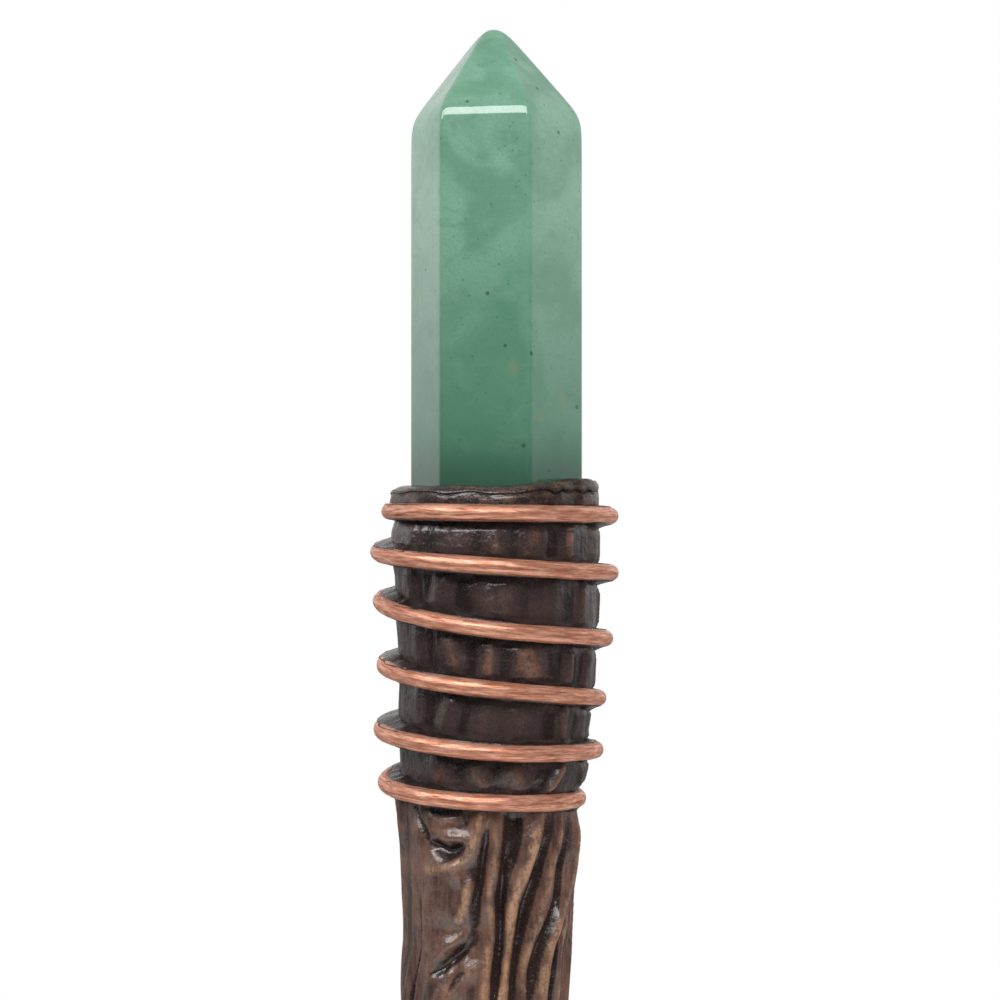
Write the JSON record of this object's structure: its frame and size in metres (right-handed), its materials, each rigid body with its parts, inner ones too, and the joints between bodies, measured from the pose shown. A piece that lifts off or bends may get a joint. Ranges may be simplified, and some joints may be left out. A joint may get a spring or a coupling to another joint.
{
  "type": "magic wand",
  "caption": "Crystal-tipped magic wand: polished six-sided green stone point set in a bark-textured shaft and bound with coiled copper wire.",
  "frame": {"origin": "centre of the flat butt face at the bottom of the shaft", "axes": "+Z along the wand from the butt to the stone's tip; -Y is the front that the viewer sees, +X its right"},
  "size_m": [0.0248, 0.0248, 0.25],
  "materials": {
    "green_stone": "gloss",
    "bark_cast": "satin",
    "dark_putty": "satin",
    "copper": "satin",
    "clear_epoxy": "gloss",
    "steel": "satin"
  },
  "bodies": {
    "root": {"crystal_point": "green_stone", "wand_body": "bark_cast", "setting_ring": "dark_putty", "copper_wire": "copper", "wire_bedding": "dark_putty", "crystal_adhesive": "clear_epoxy", "reinforcing_rod": "steel"}
  },
  "joints": []
}
